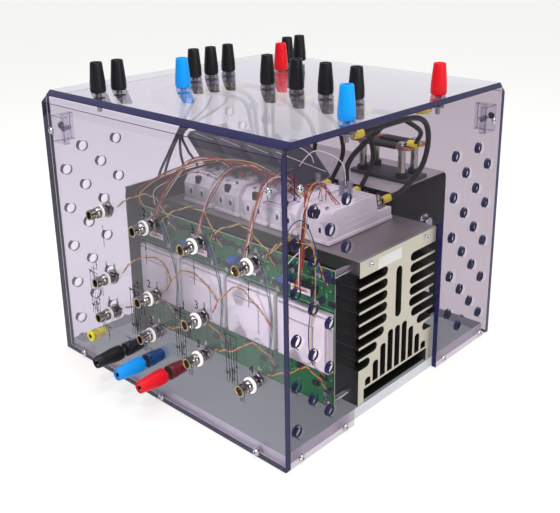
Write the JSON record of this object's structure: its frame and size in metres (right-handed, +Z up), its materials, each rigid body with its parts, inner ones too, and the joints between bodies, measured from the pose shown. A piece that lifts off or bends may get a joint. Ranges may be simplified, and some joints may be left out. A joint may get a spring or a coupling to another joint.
{
  "type": "power electronics trainer",
  "caption": "Clear enclosure on a base plate with a fan-cooled power stack inside, coaxial signal sockets in front and screw-down terminals on top.",
  "frame": {"origin": "on the surface it stands on, under the middle of the whole object's box", "axes": "+X to the right along the front panel, +Y from the front panel to the rear panel, +Z up"},
  "size_m": [0.313, 0.3466, 0.2959],
  "materials": {
    "black_steel": "black satin paint",
    "board_green": "green solder mask over glass fibre",
    "cable_black": "black flexible insulation",
    "cap_black": "black moulded, slight gloss",
    "cap_blue": "blue moulded, slight gloss",
    "cap_red": "red moulded, slight gloss",
    "capacitor_can": "dark blue sleeve, satin",
    "clear_sheet": "clear polished polycarbonate, faint lilac",
    "copper": "copper, lightly tarnished",
    "dark_plastic": "black moulded, matt",
    "grey_plastic": "dark grey box, matt",
    "nickel": "bright nickel plate",
    "sink_aluminium": "pale cream chromated extrusion, satin",
    "white_plastic": "white moulded, satin",
    "yellow_plastic": "yellow moulded"
  },
  "bodies": {
    "case": {"base_plate": "clear_sheet", "front_panel": "clear_sheet", "rear_panel": "clear_sheet", "top_panel": "clear_sheet", "left_side_panel": "clear_sheet", "right_side_panel": "clear_sheet", "heatsink": "sink_aluminium", "rectifier_module": "white_plastic", "transistor_module_1": "white_plastic", "transistor_module_2": "white_plastic", "transistor_module_3": "white_plastic", "transistor_module_4": "white_plastic", "snubber_capacitor_1": "grey_plastic", "snubber_capacitor_2": "grey_plastic", "snubber_capacitor_3": "grey_plastic", "snubber_capacitor_4": "grey_plastic", "fan_frame": "dark_plastic", "fan_bulkhead": "black_steel", "link_capacitor_lower": "capacitor_can", "link_capacitor_upper": "capacitor_can", "capacitor_cover": "black_steel", "link_bar_set": "copper", "driver_board": "board_green", "driver_module_1": "white_plastic", "driver_module_2": "white_plastic", "driver_module_3": "white_plastic", "driver_module_4": "white_plastic", "coax_socket_11": "nickel", "coax_socket_21": "nickel", "coax_socket_31": "nickel", "coax_socket_12": "nickel", "coax_socket_22": "nickel", "coax_socket_32": "nickel", "coax_socket_13": "nickel", "coax_socket_23": "nickel", "coax_socket_33": "nickel", "coax_socket_14": "nickel", "coax_socket_34": "nickel", "yellow_socket": "yellow_plastic", "link_cable_rear": "cable_black", "link_cable_front": "cable_black"},
    "black_cap_fan_front_body": {"black_cap_fan_front": "cap_black"},
    "black_cap_fan_rear_body": {"black_cap_fan_rear": "cap_black"},
    "blue_cap_rectifier_body": {"blue_cap_rectifier": "cap_blue"},
    "red_cap_rectifier_body": {"red_cap_rectifier": "cap_red"},
    "black_cap_supply_1_body": {"black_cap_supply_1": "cap_black"},
    "black_cap_supply_2_body": {"black_cap_supply_2": "cap_black"},
    "black_cap_supply_3_body": {"black_cap_supply_3": "cap_black"},
    "black_cap_output_1_body": {"black_cap_output_1": "cap_black"},
    "black_cap_output_2_body": {"black_cap_output_2": "cap_black"},
    "black_cap_output_3_body": {"black_cap_output_3": "cap_black"},
    "black_cap_output_4_body": {"black_cap_output_4": "cap_black"},
    "black_cap_sense_front_body": {"black_cap_sense_front": "cap_black"},
    "black_cap_sense_rear_body": {"black_cap_sense_rear": "cap_black"},
    "blue_cap_link_body": {"blue_cap_link": "cap_blue"},
    "red_cap_link_body": {"red_cap_link": "cap_red"},
    "black_cap_front_body": {"black_cap_front": "cap_black"},
    "blue_cap_front_body": {"blue_cap_front": "cap_blue"},
    "red_cap_front_body": {"red_cap_front": "cap_red"},
    "rotor": {"fan_rotor": "dark_plastic"}
  },
  "joints": [
    {"name": "black_cap_fan_front_turn", "type": "hinge", "parent": "case", "child": "black_cap_fan_front_body", "pos_m": [-0.10395, -0.11496, 0.2676], "axis": [0, 0, 1], "range_deg": [0, 1080]},
    {"name": "black_cap_fan_rear_turn", "type": "hinge", "parent": "case", "child": "black_cap_fan_rear_body", "pos_m": [-0.10102, -0.09396, 0.2676], "axis": [0, 0, 1], "range_deg": [0, 1080]},
    {"name": "blue_cap_rectifier_turn", "type": "hinge", "parent": "case", "child": "blue_cap_rectifier_body", "pos_m": [-0.06206, -0.04898, 0.2676], "axis": [0, 0, 1], "range_deg": [0, 1080]},
    {"name": "red_cap_rectifier_turn", "type": "hinge", "parent": "case", "child": "red_cap_rectifier_body", "pos_m": [-0.05698, 0.08078, 0.2676], "axis": [0, 0, 1], "range_deg": [0, 1080]},
    {"name": "black_cap_supply_1_turn", "type": "hinge", "parent": "case", "child": "black_cap_supply_1_body", "pos_m": [-0.09702, -0.00415, 0.2676], "axis": [0, 0, 1], "range_deg": [0, 1080]},
    {"name": "black_cap_supply_2_turn", "type": "hinge", "parent": "case", "child": "black_cap_supply_2_body", "pos_m": [-0.09502, 0.01685, 0.2676], "axis": [0, 0, 1], "range_deg": [0, 1080]},
    {"name": "black_cap_supply_3_turn", "type": "hinge", "parent": "case", "child": "black_cap_supply_3_body", "pos_m": [-0.09502, 0.04084, 0.2676], "axis": [0, 0, 1], "range_deg": [0, 1080]},
    {"name": "black_cap_output_1_turn", "type": "hinge", "parent": "case", "child": "black_cap_output_1_body", "pos_m": [-0.01201, 0.01385, 0.2676], "axis": [0, 0, 1], "range_deg": [0, 1080]},
    {"name": "black_cap_output_2_turn", "type": "hinge", "parent": "case", "child": "black_cap_output_2_body", "pos_m": [0.02603, 0.0129, 0.2676], "axis": [0, 0, 1], "range_deg": [0, 1080]},
    {"name": "black_cap_output_3_turn", "type": "hinge", "parent": "case", "child": "black_cap_output_3_body", "pos_m": [0.06206, 0.01195, 0.2676], "axis": [0, 0, 1], "range_deg": [0, 1080]},
    {"name": "black_cap_output_4_turn", "type": "hinge", "parent": "case", "child": "black_cap_output_4_body", "pos_m": [0.09594, 0.0129, 0.2676], "axis": [0, 0, 1], "range_deg": [0, 1080]},
    {"name": "black_cap_sense_front_turn", "type": "hinge", "parent": "case", "child": "black_cap_sense_front_body", "pos_m": [-0.08393, 0.11976, 0.2676], "axis": [0, 0, 1], "range_deg": [0, 1080]},
    {"name": "black_cap_sense_rear_turn", "type": "hinge", "parent": "case", "child": "black_cap_sense_rear_body", "pos_m": [-0.08393, 0.13981, 0.2676], "axis": [0, 0, 1], "range_deg": [0, 1080]},
    {"name": "blue_cap_link_turn", "type": "hinge", "parent": "case", "child": "blue_cap_link_body", "pos_m": [0.14106, -0.05703, 0.2676], "axis": [0, 0, 1], "range_deg": [0, 1080]},
    {"name": "red_cap_link_turn", "type": "hinge", "parent": "case", "child": "red_cap_link_body", "pos_m": [0.14106, 0.07288, 0.2676], "axis": [0, 0, 1], "range_deg": [0, 1080]},
    {"name": "black_cap_front_turn", "type": "hinge", "parent": "case", "child": "black_cap_front_body", "pos_m": [-0.058, -0.14495, 0.02957], "axis": [0, -1, 0], "range_deg": [0, 1080]},
    {"name": "blue_cap_front_turn", "type": "hinge", "parent": "case", "child": "blue_cap_front_body", "pos_m": [-0.026, -0.14495, 0.02957], "axis": [0, -1, 0], "range_deg": [0, 1080]},
    {"name": "red_cap_front_turn", "type": "hinge", "parent": "case", "child": "red_cap_front_body", "pos_m": [0.006, -0.14495, 0.02957], "axis": [0, -1, 0], "range_deg": [0, 1080]},
    {"name": "fan_spin", "type": "hinge", "parent": "case", "child": "rotor", "pos_m": [-0.1278, 0.01135, 0.0783], "axis": [1, 0, 0], "continuous": true}
  ]
}
